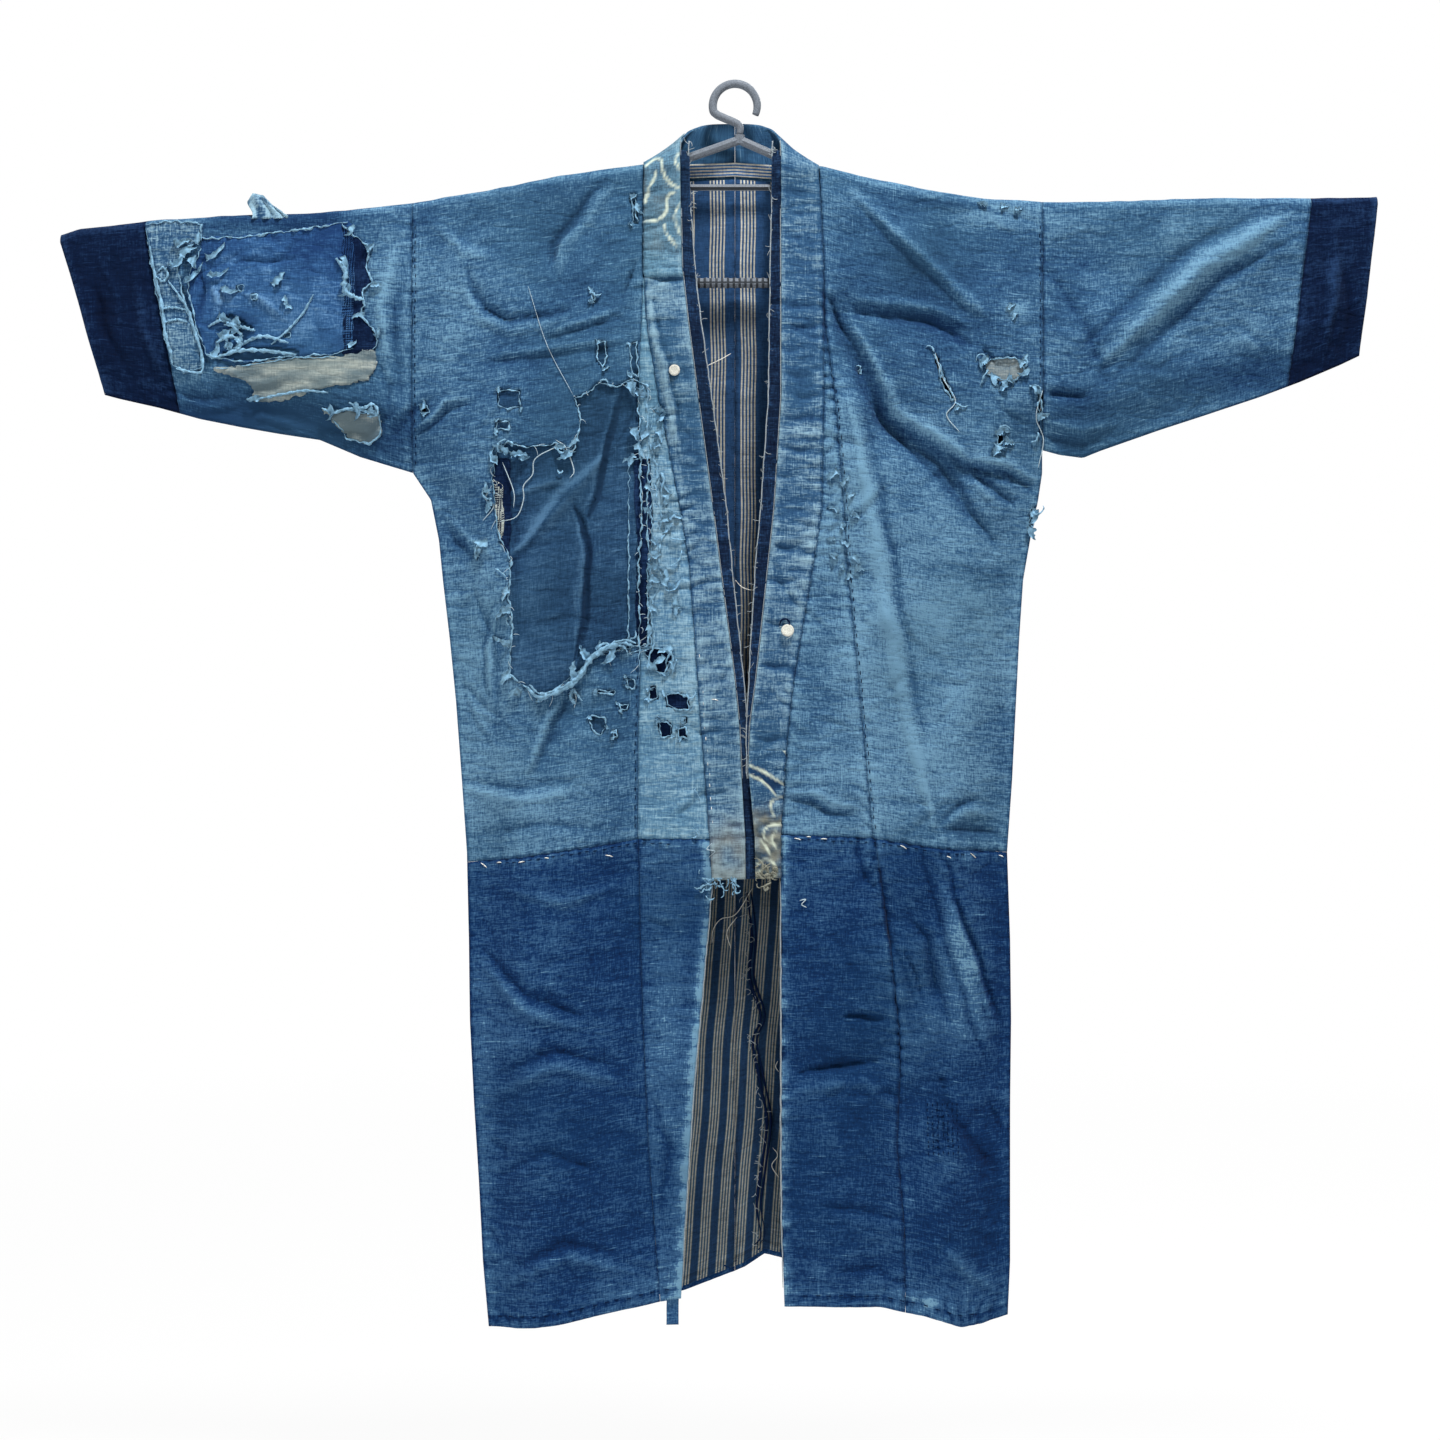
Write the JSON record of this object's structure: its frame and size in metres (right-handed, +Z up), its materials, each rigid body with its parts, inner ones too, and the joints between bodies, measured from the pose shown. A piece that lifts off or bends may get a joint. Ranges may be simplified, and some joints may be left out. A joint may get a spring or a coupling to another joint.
{
  "type": "patched boro jacket on a kimono hanger",
  "caption": "Long patched and torn indigo work coat, open at the front, hung flat on a sliding-arm hanger with its hook.",
  "frame": {"origin": "where the hanger's hook bears on the rail or peg that holds it, on the inside of the hook's bend", "axes": "+Z up, the coat's front faces -Y, the wearer's left sleeve runs to +X"},
  "size_m": [1.3142, 0.0567, 1.2463],
  "materials": {
    "worn_denim_blue": "worn matt cotton",
    "pale_blue": "worn matt cotton",
    "deep_indigo": "matt cotton",
    "navy": "matt cotton",
    "under_blue": "matt cotton",
    "stripe": "striped matt cotton",
    "scroll_print": "printed matt cotton",
    "beige": "worn matt cotton",
    "grey_plastic": "satin",
    "pale_button": "satin"
  },
  "bodies": {
    "root": {"body_right_upper": "worn_denim_blue", "body_left_upper": "worn_denim_blue", "front_lower_right": "deep_indigo", "front_lower_left": "deep_indigo", "back_lower_right": "deep_indigo", "back_lower_left": "deep_indigo", "okumi_upper_right": "pale_blue", "okumi_upper_left": "worn_denim_blue", "okumi_lower_right": "deep_indigo", "okumi_lower_left": "deep_indigo", "hem_tab": "pale_blue", "collar_right": "worn_denim_blue", "collar_left": "pale_blue", "collar_patch_neck": "scroll_print", "collar_patch_waist": "scroll_print", "facing_right": "navy", "facing_left": "navy", "neck_strip": "stripe", "lining_right": "stripe", "lining_left": "stripe", "chest_underlay": "under_blue", "sleeve_right": "worn_denim_blue", "sleeve_left": "worn_denim_blue", "sleeve_patch_blue": "pale_blue", "sleeve_patch_navy": "navy", "sleeve_patch_beige": "beige", "sleeve_patch_small": "beige", "cuff_right": "navy", "cuff_left": "navy", "button_collar": "pale_button", "button_loop": "pale_button", "hanger_hook": "grey_plastic", "hanger_frame": "grey_plastic", "hanger_arm_right": "grey_plastic", "hanger_arm_left": "grey_plastic", "hanger_bar": "grey_plastic"}
  },
  "joints": []
}
